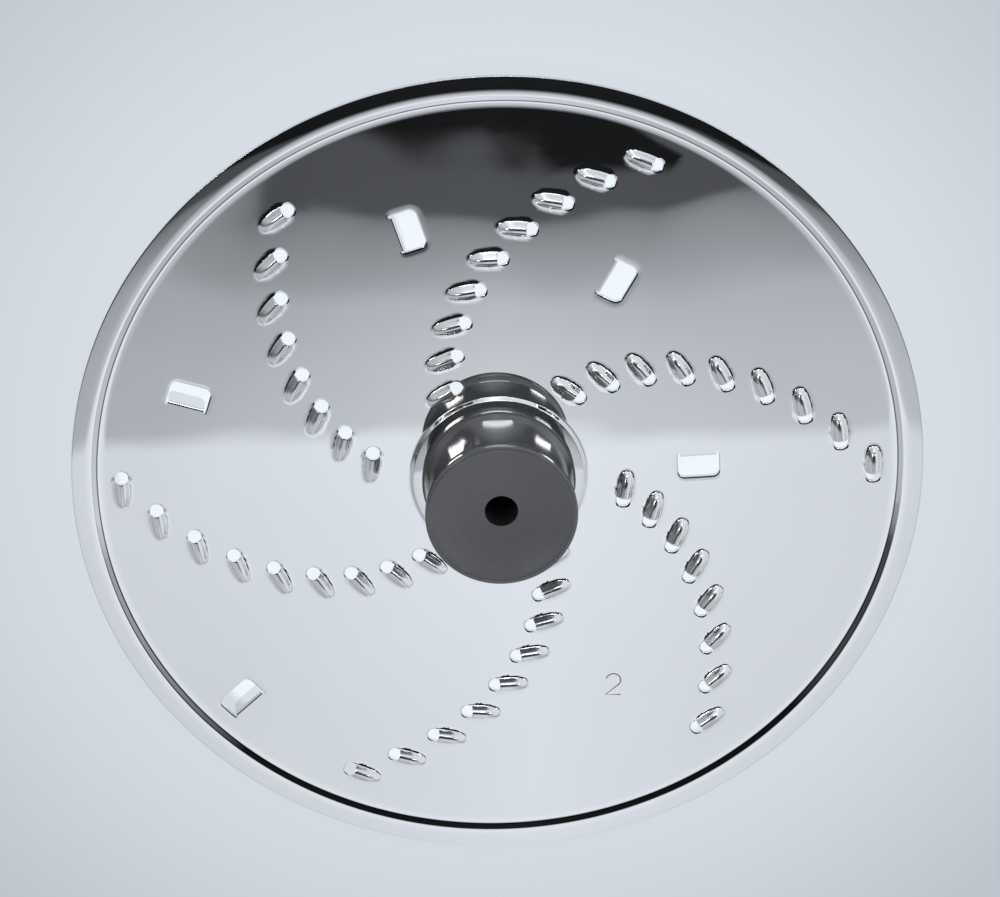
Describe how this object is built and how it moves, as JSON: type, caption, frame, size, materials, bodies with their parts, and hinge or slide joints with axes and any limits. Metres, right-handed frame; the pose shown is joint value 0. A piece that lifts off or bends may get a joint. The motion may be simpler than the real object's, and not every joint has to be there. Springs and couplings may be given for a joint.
{
  "type": "food processor disc",
  "caption": "Round grating disc for a food processor: a pressed steel plate with spiral rows of raised teeth and bent sweeping tabs, held by a moulded plastic drive hub.",
  "frame": {"origin": "centre of the drive boss's foot, on the axis that the disc turns about", "axes": "+Z along the turning axis, from the drive boss to the knob; +X and +Y in the plane of the plate"},
  "size_m": [0.175, 0.175, 0.0294],
  "materials": {
    "polished_steel": "polished stainless steel sheet",
    "grey_plastic": "dark grey moulded plastic, glossy side and matt top"
  },
  "bodies": {
    "root": {"grating_plate": "polished_steel", "hub": "grey_plastic"}
  },
  "joints": []
}
